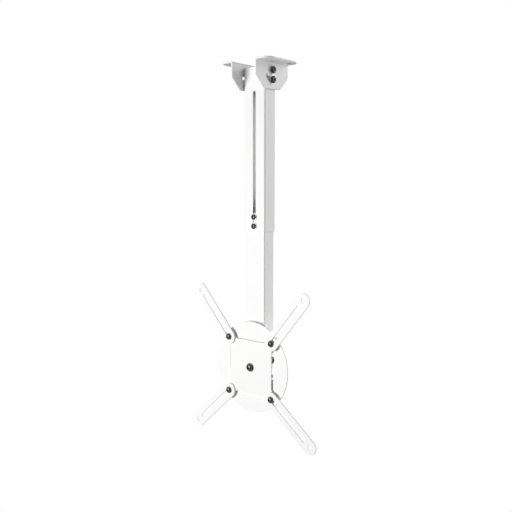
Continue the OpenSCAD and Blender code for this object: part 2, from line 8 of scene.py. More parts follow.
# %% Load the frame
import bpy
import bmesh
import json
import math
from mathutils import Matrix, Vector

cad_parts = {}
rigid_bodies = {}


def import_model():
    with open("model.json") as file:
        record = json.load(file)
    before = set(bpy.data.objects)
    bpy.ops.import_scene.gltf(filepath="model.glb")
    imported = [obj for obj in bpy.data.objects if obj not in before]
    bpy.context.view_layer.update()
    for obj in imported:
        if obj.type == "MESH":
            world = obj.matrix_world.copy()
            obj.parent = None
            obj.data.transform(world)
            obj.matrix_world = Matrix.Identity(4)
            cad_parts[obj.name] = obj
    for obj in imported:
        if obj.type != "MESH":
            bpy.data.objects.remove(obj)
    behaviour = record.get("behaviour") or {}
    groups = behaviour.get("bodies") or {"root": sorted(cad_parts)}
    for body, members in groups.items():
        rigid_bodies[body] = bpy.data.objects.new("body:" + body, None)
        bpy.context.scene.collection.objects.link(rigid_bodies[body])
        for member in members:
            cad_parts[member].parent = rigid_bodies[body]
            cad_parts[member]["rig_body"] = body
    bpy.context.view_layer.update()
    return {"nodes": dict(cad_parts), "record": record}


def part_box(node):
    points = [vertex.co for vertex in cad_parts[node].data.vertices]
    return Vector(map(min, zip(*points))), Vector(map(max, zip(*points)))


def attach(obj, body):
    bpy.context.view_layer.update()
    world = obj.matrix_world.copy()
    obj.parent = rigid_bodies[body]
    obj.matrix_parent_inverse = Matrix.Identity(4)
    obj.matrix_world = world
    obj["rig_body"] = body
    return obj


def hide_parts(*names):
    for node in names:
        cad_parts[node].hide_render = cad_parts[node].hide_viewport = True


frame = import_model()
MM = 0.001

# %% [markdown]
# The photograph looks slightly down at the mount from its right front corner, through a normal lens.
# The camera was solved together with the mount's sizes, so it stands in the same space in metres.
# A camera looks along its own -Z axis, so the view direction is turned into a rotation with
# to_track_quat, which also keeps the picture level.

# %% Camera
CAMERA_PLACE = (0.8639, -1.0113, -0.2383)
VIEW_DIRECTION = Vector((-0.6509, 0.7540, -0.0881))
camera_data = bpy.data.cameras.new("photo_camera")
camera_data.lens = 50
camera_data.sensor_width = 36
camera = bpy.data.objects.new("photo_camera", camera_data)
camera.location = CAMERA_PLACE
camera.rotation_euler = VIEW_DIRECTION.to_track_quat("-Z", "Y").to_euler()
bpy.context.scene.collection.objects.link(camera)
bpy.context.scene.camera = camera
print("camera at", CAMERA_PLACE)

# %% [markdown]
# The picture is a catalogue photograph on pure white: the front faces almost burn out and the right
# sides stay light grey. The plain Standard view transform keeps white paper-white. The floor is a
# plain pale sheet far below. It shows pure white to the camera, while to the mount it is only a grey
# surface, so the undersides can stay darker than the background, as they do under studio lamps. Cycles
# would count such a white sheet as a huge lamp and spend most light samples on it, which leaves thin
# arms grainy, so its emission isn't sampled.

# %% Backdrop and floor
FLOOR_HEIGHT = -2.4
FLOOR_HALF_SIZE = 12
FLOOR_GREY = (0.4, 0.4, 0.4, 1)
WHITE = (1, 1, 1, 1)

scene = bpy.context.scene
scene.view_settings.view_transform = "Standard"
scene.view_settings.look = "None"


def add_node(tree, kind, inputs=None, **settings):
    """Adds a node, sets its options, and fills inputs, by name or place, with values or links."""
    node = tree.nodes.new(kind)
    for name, value in settings.items():
        setattr(node, name, value)
    for key, value in (inputs or {}).items():
        if isinstance(value, bpy.types.NodeSocket):
            tree.links.new(value, node.inputs[key])
        else:
            node.inputs[key].default_value = value
    return node


def white_to_camera(tree, real_shader, white_kind):
    """Mixes a shader, which the mount meets, with pure white, which only the camera sees."""
    white = add_node(tree, white_kind, {"Color": WHITE, "Strength": 1.0}).outputs[0]
    seen = add_node(tree, "ShaderNodeLightPath").outputs["Is Camera Ray"]
    return add_node(tree, "ShaderNodeMixShader", {0: seen, 1: real_shader, 2: white}).outputs[0]


def make_floor():
    mesh = bpy.data.meshes.new("floor")
    corners = [(x * FLOOR_HALF_SIZE, y * FLOOR_HALF_SIZE, FLOOR_HEIGHT)
               for x, y in ((-1, -1), (1, -1), (1, 1), (-1, 1))]
    mesh.from_pydata(corners, [], [(0, 1, 2, 3)])
    floor = bpy.data.objects.new("floor", mesh)
    scene.collection.objects.link(floor)
    material = bpy.data.materials.new("floor_paper")
    material.use_nodes = True
    material.cycles.emission_sampling = "NONE"
    tree = material.node_tree
    tree.nodes.clear()
    grey = add_node(tree, "ShaderNodeBsdfDiffuse", {"Color": FLOOR_GREY}).outputs[0]
    paper = white_to_camera(tree, grey, "ShaderNodeEmission")
    add_node(tree, "ShaderNodeOutputMaterial", {"Surface": paper})
    mesh.materials.append(material)


make_floor()
print("floor", -FLOOR_HEIGHT, "m under the ceiling plane")

# %% [markdown]
# The photograph's light can be read from its edges. The front is almost burnt out, the right sides are
# light grey, and the rounded corner between them is darker than both. So there are two lights with a
# gap between them: a softbox in front on the left, a little above the head's height, and a larger one
# behind, a little to the right. The sky is white to the camera and gives the mount only a dim fill. The
# rear softbox also shines in through the column's back and lights the inside of the clamp slot.

# %% Studio light
SKY_LIGHT = 0.15
KEY_POWER = 77
REAR_POWER = 168

world = bpy.data.worlds.new("studio_sky")
scene.world = world
world.use_nodes = True
sky = world.node_tree
sky.nodes.clear()
fill = add_node(sky, "ShaderNodeBackground", {"Color": WHITE, "Strength": SKY_LIGHT}).outputs[0]
sky_shader = white_to_camera(sky, fill, "ShaderNodeBackground")
add_node(sky, "ShaderNodeOutputWorld", {"Surface": sky_shader})


def add_softbox(name, place, target, width, height, power):
    data = bpy.data.lights.new(name, "AREA")
    data.shape = "RECTANGLE"
    data.size = width
    data.size_y = height
    data.energy = power
    lamp = bpy.data.objects.new(name, data)
    lamp.location = place
    lamp.rotation_euler = (Vector(target) - Vector(place)).to_track_quat("-Z", "Y").to_euler()
    scene.collection.objects.link(lamp)


add_softbox("key_softbox", place=(-1.1, -2.6, -0.45), target=(0, 0, -0.4), width=1.4, height=1.4,
            power=KEY_POWER)
add_softbox("rear_softbox", place=(1.35, 2.67, 0.1), target=(0, 0, -0.3), width=6.0, height=4.4,
            power=REAR_POWER)
print("sky", SKY_LIGHT, "key", KEY_POWER, "W, rear", REAR_POWER, "W")

# %% [markdown]
# Powder coat is paint that melted into a skin. Close up it has orange peel, a shallow waviness about
# a millimetre wide, and it varies a little in gloss. The peel, the cloudiness and the fine grain are
# one shader node group, because the white paint, the black finish and the plastics all use it with
# their own values. The group only puts out numbers. Each material keeps its own shader.

# %% Surface effects as node groups
GRAINS_PER_PEEL = 5.0
PATCH_SCALE = 180.0


def new_effect(name, inputs, outputs):
    """An empty shader node group with named float sockets. Gives the group and its inputs."""
    tree = bpy.data.node_groups.new(name, "ShaderNodeTree")
    for label, default in inputs.items():
        socket = tree.interface.new_socket(label, in_out="INPUT", socket_type="NodeSocketFloat")
        socket.default_value = default
    for label in outputs:
        tree.interface.new_socket(label, in_out="OUTPUT", socket_type="NodeSocketFloat")
    return tree, tree.nodes.new("NodeGroupInput").outputs


def hand_out(tree, **results):
    """Links each result to the tree's output of that name."""
    end = tree.nodes.new("NodeGroupOutput")
    for label, value in results.items():
        tree.links.new(value, end.inputs[label])


def one_over(tree, value):
    """One over a value. A noise pattern's scale is one over its width."""
    return add_node(tree, "ShaderNodeMath", {0: 1.0, 1: value}, operation="DIVIDE").outputs[0]


def noise(tree, place, scale, detail):
    inputs = {"Vector": place, "Scale": scale, "Detail": detail}
    return add_node(tree, "ShaderNodeTexNoise", inputs).outputs["Fac"]


def make_orange_peel():
    tree, sizes = new_effect("orange_peel", {"Peel Width": 1.1 * MM, "Cloud Width": 60 * MM},
                             ["Height", "Cloud", "Grain"])
    place = add_node(tree, "ShaderNodeTexCoord").outputs["Object"]
    peel_scale = one_over(tree, sizes["Peel Width"])
    cloud_scale = one_over(tree, sizes["Cloud Width"])
    grain_scale = add_node(tree, "ShaderNodeMath", {0: peel_scale, 1: GRAINS_PER_PEEL},
                           operation="MULTIPLY").outputs[0]
    hand_out(tree, Height=noise(tree, place, peel_scale, detail=1.5),
             Cloud=noise(tree, place, cloud_scale, detail=3.0),
             Grain=noise(tree, place, grain_scale, detail=2.0))
    return tree


def make_brushed_lines():
    """Fine parallel lines, as rolled or turned metal has under its plating."""
    tree, sizes = new_effect("brushed_lines", {"Line Width": 0.3 * MM, "Stretch": 14.0},
                             ["Height", "Tone"])
    place = add_node(tree, "ShaderNodeTexCoord").outputs["Object"]
    squeeze = add_node(tree, "ShaderNodeCombineXYZ", {
        "X": one_over(tree, sizes["Stretch"]), "Y": 1.0, "Z": 1.0}).outputs[0]
    lined = add_node(tree, "ShaderNodeVectorMath", {0: place, 1: squeeze},
                     operation="MULTIPLY").outputs[0]
    line_scale = one_over(tree, sizes["Line Width"])
    hand_out(tree, Height=noise(tree, lined, line_scale, detail=2.0),
             Tone=noise(tree, place, PATCH_SCALE, detail=3.0))
    return tree


ORANGE_PEEL = make_orange_peel()
BRUSHED_LINES = make_brushed_lines()
print("effects:", ORANGE_PEEL.name, BRUSHED_LINES.name)

# %% [markdown]
# Each finish is one material. Helpers make the shader, blend two close tones by one of the effect's
# patterns, map one onto a small range of roughness, and turn one into a bump. What differs between
# finishes are the tones, the gloss, whether it is metal, and how deep the relief is.

# %% Materials
NOISE_LOW, NOISE_HIGH = 0.3, 0.7


def spaced(values):
    """Gives the socket names that keywords stand for: Cloud_Width becomes Cloud Width."""
    return {label.replace("_", " "): value for label, value in values.items()}


def new_finish(name, **constants):
    """A material with a Principled shader, with constants set on the shader's own sockets."""
    material = bpy.data.materials.new(name)
    material.use_nodes = True
    shader = material.node_tree.nodes["Principled BSDF"]
    for label, value in spaced(constants).items():
        shader.inputs[label].default_value = value
    return material, material.node_tree, shader


def place_effect(tree, effect, **values):
    return add_node(tree, "ShaderNodeGroup", spaced(values), node_tree=effect).outputs


def tone_between(tree, shader, factor, dark, light):
    blend = add_node(tree, "ShaderNodeMix", {"Factor": factor}, data_type="RGBA")
    blend.inputs["A"].default_value = (*dark, 1)
    blend.inputs["B"].default_value = (*light, 1)
    tree.links.new(blend.outputs["Result"], shader.inputs["Base Color"])


def gloss_between(tree, shader, factor, smooth, rough):
    span = add_node(tree, "ShaderNodeMapRange", {
        "Value": factor, "From Min": NOISE_LOW, "From Max": NOISE_HIGH, "To Min": smooth, "To Max": rough})
    tree.links.new(span.outputs["Result"], shader.inputs["Roughness"])


def relief(tree, shader, height, depth, strength):
    bump = add_node(tree, "ShaderNodeBump", {"Height": height, "Distance": depth, "Strength": strength})
    tree.links.new(bump.outputs["Normal"], shader.inputs["Normal"])


def make_powder_coat():
    material, tree, shader = new_finish("white_powder_coat", IOR=1.45, Coat_Weight=0.06,
                                        Coat_Roughness=0.3)
    peel = place_effect(tree, ORANGE_PEEL, Peel_Width=1.1 * MM, Cloud_Width=50 * MM)
    tone_between(tree, shader, peel["Cloud"], dark=(0.90, 0.90, 0.895), light=(0.94, 0.94, 0.935))
    gloss_between(tree, shader, peel["Cloud"], smooth=0.40, rough=0.52)
    relief(tree, shader, peel["Height"], depth=0.08 * MM, strength=0.35)
    return material


def make_black_finish():
    material, tree, shader = new_finish("black_oxide", IOR=1.6, Coat_Weight=0.3, Coat_Roughness=0.12)
    skin = place_effect(tree, ORANGE_PEEL, Peel_Width=0.4 * MM, Cloud_Width=4 * MM)
    tone_between(tree, shader, skin["Cloud"], dark=(0.030, 0.030, 0.031), light=(0.075, 0.074, 0.072))
    gloss_between(tree, shader, skin["Cloud"], smooth=0.24, rough=0.40)
    relief(tree, shader, skin["Grain"], depth=0.02 * MM, strength=0.3)
    return material


def make_zinc():
    material, tree, shader = new_finish("zinc_plate", Metallic=1.0)
    lines = place_effect(tree, BRUSHED_LINES, Line_Width=0.25 * MM, Stretch=14.0)
    tone_between(tree, shader, lines["Tone"], dark=(0.56, 0.57, 0.59), light=(0.74, 0.74, 0.73))
    gloss_between(tree, shader, lines["Height"], smooth=0.22, rough=0.40)
    relief(tree, shader, lines["Height"], depth=0.01 * MM, strength=0.4)
    return material


def make_nylon():
    material, tree, shader = new_finish("pale_nylon", IOR=1.53, Subsurface_Weight=0.15,
                                        Subsurface_Scale=2 * MM)
    skin = place_effect(tree, ORANGE_PEEL, Peel_Width=0.6 * MM, Cloud_Width=12 * MM)
    tone_between(tree, shader, skin["Cloud"], dark=(0.72, 0.71, 0.67), light=(0.82, 0.81, 0.77))
    gloss_between(tree, shader, skin["Grain"], smooth=0.42, rough=0.55)
    relief(tree, shader, skin["Height"], depth=0.03 * MM, strength=0.3)
    return material


def make_black_plastic():
    material, tree, shader = new_finish("black_plastic", IOR=1.5)
    skin = place_effect(tree, ORANGE_PEEL, Peel_Width=0.5 * MM, Cloud_Width=20 * MM)
    tone_between(tree, shader, skin["Cloud"], dark=(0.020, 0.020, 0.021), light=(0.034, 0.034, 0.035))
    gloss_between(tree, shader, skin["Grain"], smooth=0.45, rough=0.62)
    relief(tree, shader, skin["Height"], depth=0.05 * MM, strength=0.4)
    return material


FINISHES = {"white_powder_coat": make_powder_coat(), "dark_steel": make_black_finish(),
            "zinc_steel": make_zinc(), "pale_nylon": make_nylon(),
            "black_plastic": make_black_plastic()}
slot_of = {part["node"]: part["material_slot"] for part in frame["record"]["subparts"]}
print("finishes:", ", ".join(FINISHES))

# %% [markdown]
# Sheet metal never has a knife edge: the punch rounds it and the paint rounds it further. The frame's
# meshes have exact sharp edges, so each sheet piece is a copy with its edges bevelled by a few tenths
# of a millimetre. The copy is merged first, because the frame's triangles are loose, and the flat
# faces are dissolved into single faces so that the bevel meets no stray edges. Normals weighted by
# face area keep the large flats flat in the reflections. The thin liner in the outer tube's mouth
# stays the frame's own mesh and only gets its finish.

# %% Rounded copies of the sheet pieces
MERGE_WITHIN = 0.002 * MM
FLAT_WITHIN = math.radians(0.5)
ROUND_ABOVE = math.radians(40)
BEVEL_STEPS = 2
SHEET_EDGES = {"ceiling_bracket_right": 0.45 * MM, "ceiling_bracket_left": 0.45 * MM,
               "outer_tube": 0.3 * MM, "inner_tube": 0.3 * MM, "tilt_disc": 0.4 * MM,
               "mounting_plate": 0.4 * MM, "top_glide": 0.5 * MM, "clamp_nut_plate": 0.4 * MM}


def new_piece(name, mesh):
    piece = bpy.data.objects.new(name, mesh)
    scene.collection.objects.link(piece)
    return piece


def settle(piece):
    """Applies what the modifiers make, so that the piece is a plain mesh."""
    evaluated = piece.evaluated_get(bpy.context.evaluated_depsgraph_get())
    result = bpy.data.meshes.new_from_object(evaluated)
    piece.modifiers.clear()
    piece.data = result


def add_edge_round(piece, radius):
    bevel = piece.modifiers.new("edge_round", "BEVEL")
    bevel.width = radius
    bevel.segments = BEVEL_STEPS
    bevel.limit_method = "ANGLE"
    bevel.angle_limit = ROUND_ABOVE
    bevel.use_clamp_overlap = False


def keep_flats_flat(piece):
    weighted = piece.modifiers.new("flat_faces", "WEIGHTED_NORMAL")
    weighted.mode = "FACE_AREA"
    weighted.weight = 100


def rounded_copy(node, radius):
    mesh = frame["nodes"][node].data.copy()
    work = bmesh.new()
    work.from_mesh(mesh)
    bmesh.ops.remove_doubles(work, verts=work.verts, dist=MERGE_WITHIN)
    bmesh.ops.dissolve_limit(work, angle_limit=FLAT_WITHIN, verts=work.verts, edges=work.edges)
    for face in work.faces:
        face.smooth = True
    work.to_mesh(mesh)
    work.free()
    mesh.materials.clear()
    mesh.materials.append(FINISHES[slot_of[node]])
    piece = new_piece(node + "_look", mesh)
    add_edge_round(piece, radius)
    keep_flats_flat(piece)
    settle(piece)
    return piece


def stand_for(piece, node):
    """Rides the piece on its node's body and shows it in the node's place."""
    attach(piece, frame["nodes"][node]["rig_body"])
    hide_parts(node)


for node, edge in SHEET_EDGES.items():
    piece = rounded_copy(node, edge)
    stand_for(piece, node)
    print(piece.name, len(piece.data.polygons), "faces")
liner = frame["nodes"]["tube_liner"].data
liner.materials.clear()
liner.materials.append(FINISHES[slot_of["tube_liner"]])

# %% [markdown]
# The rest is made by Geometry Nodes trees, one for each kind of part, with the sizes as named inputs.
# Every tree takes a cloud of seat points, puts one part on each, and ends in Realize Instances and
# Set Material, so that what leaves the tree is a plain mesh. These helpers build such a tree, and
# grow an object from it: the inputs are set by the sockets' identifiers before anything is evaluated.
# The Random Value node has sockets of the same name for each kind of data, so two go by their place.

# %% Helpers for Geometry Nodes
SOCKET_KINDS = {float: "NodeSocketFloat", int: "NodeSocketInt", tuple: "NodeSocketVector"}
RANDOM_MOST, RANDOM_RESULT = 3, 1
SHARP_ABOVE = math.radians(38)


def new_tree(name, sizes, seated=True):
    """A tree with named inputs. A seated one also takes seats, a turn, a spin and a material."""
    tree = bpy.data.node_groups.new(name, "GeometryNodeTree")
    if seated:
        tree.interface.new_socket("Seats", in_out="INPUT", socket_type="NodeSocketGeometry")
        sizes = {**sizes, "Turn": (0.0, 0.0, 0.0), "Spin Seed": 0, "Most Spin": 0.0}
    for label, default in sizes.items():
        kind = SOCKET_KINDS[type(default)]
        tree.interface.new_socket(label, in_out="INPUT", socket_type=kind).default_value = default
    if seated:
        tree.interface.new_socket("Material", in_out="INPUT", socket_type="NodeSocketMaterial")
    tree.interface.new_socket("Mesh", in_out="OUTPUT", socket_type="NodeSocketGeometry")
    return tree, tree.nodes.new("NodeGroupInput").outputs


def use_tree(tree, inner, **values):
    """Places a smaller tree inside this one and gives its mesh or curve."""
    return add_node(tree, "GeometryNodeGroup", spaced(values), node_tree=inner).outputs[0]


def maths(tree, operation, first, second=0.0, third=0.0, clamp=False):
    return add_node(tree, "ShaderNodeMath", {0: first, 1: second, 2: third}, operation=operation,
                    use_clamp=clamp).outputs[0]


def plus(tree, first, second):
    return maths(tree, "ADD", first, second)


def minus(tree, first, second):
    return maths(tree, "SUBTRACT", first, second)


def times(tree, first, second):
    return maths(tree, "MULTIPLY", first, second)


def over(tree, first, second):
    return maths(tree, "DIVIDE", first, second)


def half(tree, value):
    return times(tree, value, 0.5)


def vector(tree, x=0.0, y=0.0, z=0.0):
    return add_node(tree, "ShaderNodeCombineXYZ", {"X": x, "Y": y, "Z": z}).outputs[0]


def moved(tree, geometry, **offset):
    inputs = {"Geometry": geometry, "Translation": vector(tree, **offset)}
    return add_node(tree, "GeometryNodeTransform", inputs).outputs[0]


def turned(tree, geometry, rotation):
    inputs = {"Geometry": geometry, "Rotation": rotation}
    return add_node(tree, "GeometryNodeTransform", inputs).outputs[0]


def joined(tree, *parts):
    """Joins parts in the order given. The socket puts its newest link first."""
    node = tree.nodes.new("GeometryNodeJoinGeometry")
    for part in reversed(parts):
        tree.links.new(part, node.inputs[0])
    return node.outputs[0]


def seat_and_finish(tree, sizes, part):
    """The end of every seated tree: one part on each seat, turned, made real and painted."""
    turn = add_node(tree, "FunctionNodeEulerToRotation", {0: sizes["Turn"]}).outputs[0]
    placed = add_node(tree, "GeometryNodeInstanceOnPoints", {
        "Points": sizes["Seats"], "Instance": part, "Rotation": turn}).outputs[0]
    spin = add_node(tree, "FunctionNodeRandomValue", {
        RANDOM_MOST: sizes["Most Spin"], "Seed": sizes["Spin Seed"]},
        data_type="FLOAT").outputs[RANDOM_RESULT]
    about_axis = add_node(tree, "FunctionNodeEulerToRotation", {0: vector(tree, z=spin)}).outputs[0]
    spun = add_node(tree, "GeometryNodeRotateInstances", {
        "Instances": placed, "Rotation": about_axis}).outputs[0]
    real = add_node(tree, "GeometryNodeRealizeInstances", {0: spun}).outputs[0]
    smooth = add_node(tree, "GeometryNodeSetShadeSmooth", {
        "Geometry": real, "Shade Smooth": True}).outputs[0]
    painted = add_node(tree, "GeometryNodeSetMaterial", {
        "Geometry": smooth, "Material": sizes["Material"]}).outputs[0]
    hand_out(tree, Mesh=painted)


def grow(name, tree, seats, finish, sheet=False, **values):
    """Makes an object from a seated tree and leaves it as a plain mesh."""
    mesh = bpy.data.meshes.new(name)
    mesh.from_pydata([tuple(seat) for seat in seats], [], [])
    piece = new_piece(name, mesh)
    modifier = piece.modifiers.new("parts", "NODES")
    modifier.node_group = tree
    identifiers = {item.name: item.identifier for item in tree.interface.items_tree
                   if item.in_out == "INPUT"}
    modifier[identifiers["Material"]] = FINISHES[finish]
    for label, value in spaced(values).items():
        modifier[identifiers[label]] = value
    if sheet:
        keep_flats_flat(piece)
    settle(piece)
    if not sheet:
        piece.data.set_sharp_from_angle(angle=SHARP_ABOVE)
    return piece


def dress(node, tree, seats, sheet=False, **values):
    """Grows the piece that stands for a node, in the node's own finish."""
    piece = grow(node + "_look", tree, seats, slot_of[node], sheet, **values)
    stand_for(piece, node)


print("seats, turns and materials are inputs of every tree")

# %% [markdown]
# An arm is a flat bar with round ends, a long slot and a round hole, so its shape follows a rule: two
# stadiums and a circle. A stadium is a circle whose right half is moved along X. The circle starts half
# a step round, so no point lies on the dividing line and the two sides come out straight and parallel.
# Each outline is drawn twice. A C-shaped profile swept along the first makes the wall with its rounded
# edges, and the second, a little way into the sheet, bounds the flat faces, which Fill Curve makes.
# The two meet point for point, so merging closes the sheet, and no bevel has to cross the slot's end.

# %% Slotted arm tree
ARM_STEPS = 72
ROUND_STEPS = 3
LAP_PER_EDGE = 1.25


def circle(tree, steps, radius):
    inputs = {"Resolution": steps, "Radius": radius}
    return add_node(tree, "GeometryNodeCurvePrimitiveCircle", inputs).outputs[0]


def coordinates(tree):
    """Every point's X, Y and Z."""
    position = add_node(tree, "GeometryNodeInputPosition").outputs[0]
    return add_node(tree, "ShaderNodeSeparateXYZ", {0: position}).outputs


def reshaped(tree, geometry, places):
    """Moves every point to the place that is worked out for it."""
    inputs = {"Geometry": geometry, "Position": places}
    return add_node(tree, "GeometryNodeSetPosition", inputs).outputs[0]


def swept(tree, path, profile):
    inputs = {"Curve": path, "Profile Curve": profile}
    return add_node(tree, "GeometryNodeCurveToMesh", inputs).outputs[0]


def merged(tree, mesh, distance):
    inputs = {"Geometry": mesh, "Distance": distance}
    return add_node(tree, "GeometryNodeMergeByDistance", inputs).outputs[0]


def flipped(tree, mesh):
    return add_node(tree, "GeometryNodeFlipFaces", {0: mesh}).outputs[0]


def make_stadium():
    tree, sizes = new_tree("stadium", {"Length": 100 * MM, "Radius": 10 * MM}, seated=False)
    half_step = (0.0, 0.0, math.pi / ARM_STEPS)
    begun = turned(tree, circle(tree, ARM_STEPS, sizes["Radius"]), half_step)
    right_half = add_node(tree, "FunctionNodeCompare", {"A": coordinates(tree)["X"], "B": 0.0},
                          operation="GREATER_THAN").outputs[0]
    stretched = add_node(tree, "GeometryNodeSetPosition", {
        "Geometry": begun, "Selection": right_half, "Offset": vector(tree, x=sizes["Length"])})
    hand_out(tree, Mesh=stretched.outputs[0])
    return tree


STADIUM = make_stadium()


def stadium(tree, length, radius):
    return use_tree(tree, STADIUM, Length=length, Radius=radius)


def end_hole(tree, reach, radius):
    return moved(tree, circle(tree, ARM_STEPS // 2, radius), x=reach)


def rounded_wall(tree, outline, thickness, edge, lap):
    """Sweeps a C with two rounded corners along an outline. Its ends lie one lap from the outline."""
    # The C has four points, numbered 0 to 3. Counted from their middle, the two ends lie past 1.
    line = add_node(tree, "GeometryNodeMeshLine", {"Count": 4}).outputs[0]
    middle_of_four = 1.5
    from_middle = minus(tree, add_node(tree, "GeometryNodeInputIndex").outputs[0], middle_of_four)
    is_end = maths(tree, "GREATER_THAN", maths(tree, "ABSOLUTE", from_middle), 1.0)
    side = times(tree, maths(tree, "SIGN", from_middle), half(tree, thickness))
    corners = reshaped(tree, line, vector(tree, x=times(tree, is_end, lap), y=side))
    profile = add_node(tree, "GeometryNodeMeshToCurve", {0: corners}).outputs[0]
    rounded = add_node(tree, "GeometryNodeFilletCurve", {
        "Curve": profile, "Count": ROUND_STEPS, "Radius": edge}, mode="POLY").outputs[0]
    return swept(tree, outline, rounded)


def rounded_sheet(tree, walls, face_outline, thickness):
    """Closes swept walls with the two flat faces. The sheet's back lies on the ground plane."""
    half_way = half(tree, thickness)
    face = add_node(tree, "GeometryNodeFillCurve", {0: face_outline}, mode="NGONS").outputs[0]
    front = moved(tree, face, z=half_way)
    back = moved(tree, flipped(tree, face), z=times(tree, half_way, -1.0))
    closed = merged(tree, joined(tree, *walls, front, back), MERGE_WITHIN)
    return moved(tree, closed, z=half_way)


def make_arm_tree():
    tree, sizes = new_tree("slotted_arm", {
        "Reach": 112 * MM, "Slot Length": 97 * MM, "Width": 28 * MM, "Slot Width": 7 * MM,
        "Hole Width": 8 * MM, "Thickness": 2.5 * MM, "Edge": 0.4 * MM, "Direction": 0.0})
    into_bar = times(tree, sizes["Edge"], -LAP_PER_EDGE)
    into_slot = times(tree, sizes["Edge"], LAP_PER_EDGE)
    walls, inner_outlines = [], []
    for shape, along, across, lap in ((stadium, "Reach", "Width", into_bar),
                                      (stadium, "Slot Length", "Slot Width", into_slot),
                                      (end_hole, "Reach", "Hole Width", into_slot)):
        radius = half(tree, sizes[across])
        outline = shape(tree, sizes[along], radius)
        wall = rounded_wall(tree, outline, sizes["Thickness"], sizes["Edge"], lap)
        if lap == into_slot:
            wall = flipped(tree, wall)
        walls.append(wall)
        inner_outlines.append(shape(tree, sizes[along], plus(tree, radius, lap)))
    bar = rounded_sheet(tree, walls, joined(tree, *inner_outlines), sizes["Thickness"])
    pointed = turned(tree, bar, vector(tree, z=sizes["Direction"]))
    seat_and_finish(tree, sizes, pointed)
    return tree


ARM_TREE = make_arm_tree()
print(ARM_TREE.name, "has", len(ARM_TREE.nodes), "nodes")

# %% [markdown]
# Each arm's screw marks its seat. The arm points from there to its end hole, whose place is a mount of
# the frame, so reach and direction are measured and not repeated here. An arm's +Z axis becomes the
# front, -Y, after a quarter turn about X.

# %% The four arms
TO_FRONT = (math.radians(90), 0.0, 0.0)
TO_BACK = (math.radians(-90), 0.0, 0.0)
TO_RIGHT = (0.0, math.radians(90), 0.0)
TO_LEFT = (0.0, math.radians(-90), 0.0)
CORNERS = ("upper_left", "upper_right", "lower_left", "lower_right")
ARM_WIDTH, ARM_SLOT_WIDTH, ARM_HOLE_WIDTH = 28 * MM, 7 * MM, 8 * MM
ARM_EDGE = 0.4 * MM
SLOT_TO_HOLE = 16 * MM
hole_places = {mount["name"]: Vector(mount["pos_m"]) for mount in frame["record"]["mounts"]}


def middle(node):
    low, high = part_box(node)
    return (low + high) / 2


for corner in CORNERS:
    node = "arm_" + corner
    low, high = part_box(node)
    seat = middle("arm_screw_" + corner)
    along = hole_places["arm_hole_" + corner] - seat
    reach = math.hypot(along.x, along.z)
    direction = math.atan2(along.z, along.x)
    seat.y = high.y
    dress(node, ARM_TREE, [seat], sheet=True, Reach=reach, Slot_Length=reach - SLOT_TO_HOLE,
          Width=ARM_WIDTH, Slot_Width=ARM_SLOT_WIDTH, Hole_Width=ARM_HOLE_WIDTH,
          Thickness=high.y - low.y, Edge=ARM_EDGE, Direction=direction, Turn=TO_FRONT)
    print(node, "reach", round(reach / MM, 1), "mm, direction", round(math.degrees(direction), 1))

# %% [markdown]
# Washers, spacers and the nylon ring of a lock nut are all rings with rounded edges. A rectangle with
# filleted corners is swept round a circle. The sweep closes on itself, so the ring has no seam.

# %% Ring tree
RING_STEPS = 64
RING_SIZES = {"Outer Width": 16 * MM, "Bore Width": 8.5 * MM, "Thickness": 1.6 * MM, "Edge": 0.2 * MM}
BARREL_EDGE, RIM_EDGE = 0.15 * MM, 0.2 * MM


def rectangle(tree, width, height):
    inputs = {"Width": width, "Height": height}
    return add_node(tree, "GeometryNodeCurvePrimitiveQuadrilateral", inputs).outputs[0]


def make_ring():
    tree, sizes = new_tree("rounded_ring", RING_SIZES, seated=False)
    outer, bore, thickness = sizes["Outer Width"], sizes["Bore Width"], sizes["Thickness"]
    mean_width = half(tree, plus(tree, outer, bore))
    path = circle(tree, RING_STEPS, half(tree, mean_width))
    section = rectangle(tree, half(tree, minus(tree, outer, bore)), thickness)
    rounded = add_node(tree, "GeometryNodeFilletCurve", {
        "Curve": section, "Count": ROUND_STEPS, "Radius": sizes["Edge"], "Limit Radius": True},
        mode="POLY").outputs[0]
    hand_out(tree, Mesh=moved(tree, swept(tree, path, rounded), z=half(tree, thickness)))
    return tree


RING = make_ring()


def make_ring_tree():
    tree, sizes = new_tree("washer", RING_SIZES)
    same_sizes = {label: sizes[label] for label in RING_SIZES}
    seat_and_finish(tree, sizes, use_tree(tree, RING, **same_sizes))
    return tree


def make_press_nut_tree():
    """A press nut: a barrel that fills the sheet's hole and a rim behind the sheet."""
    tree, sizes = new_tree("press_nut", {"Barrel Width": 9 * MM, "Barrel Height": 2.5 * MM,
                                         "Rim Width": 12 * MM, "Rim Height": 1 * MM,
                                         "Bore Width": 6 * MM})
    barrel = use_tree(tree, RING, Outer_Width=sizes["Barrel Width"], Bore_Width=sizes["Bore Width"],
                      Thickness=sizes["Barrel Height"], Edge=BARREL_EDGE)
    rim = use_tree(tree, RING, Outer_Width=sizes["Rim Width"], Bore_Width=sizes["Bore Width"],
                   Thickness=sizes["Rim Height"], Edge=RIM_EDGE)
    below = moved(tree, rim, z=times(tree, sizes["Rim Height"], -1.0))
    seat_and_finish(tree, sizes, joined(tree, barrel, below))
    return tree


RING_TREE = make_ring_tree()
PRESS_NUT_TREE = make_press_nut_tree()
print(RING_TREE.name, PRESS_NUT_TREE.name)

# %% [markdown]
# A screw thread is a ridge that climbs one pitch in each turn. On a finely divided cylinder, each
# point's height and angle say where it lies between two ridges: height over pitch minus the share of
# the turn. A ping-pong of that number falls and rises once in each turn, and scales the radius. The
# result is one closed skin, with a chamfer at the lower end where the radius runs in.

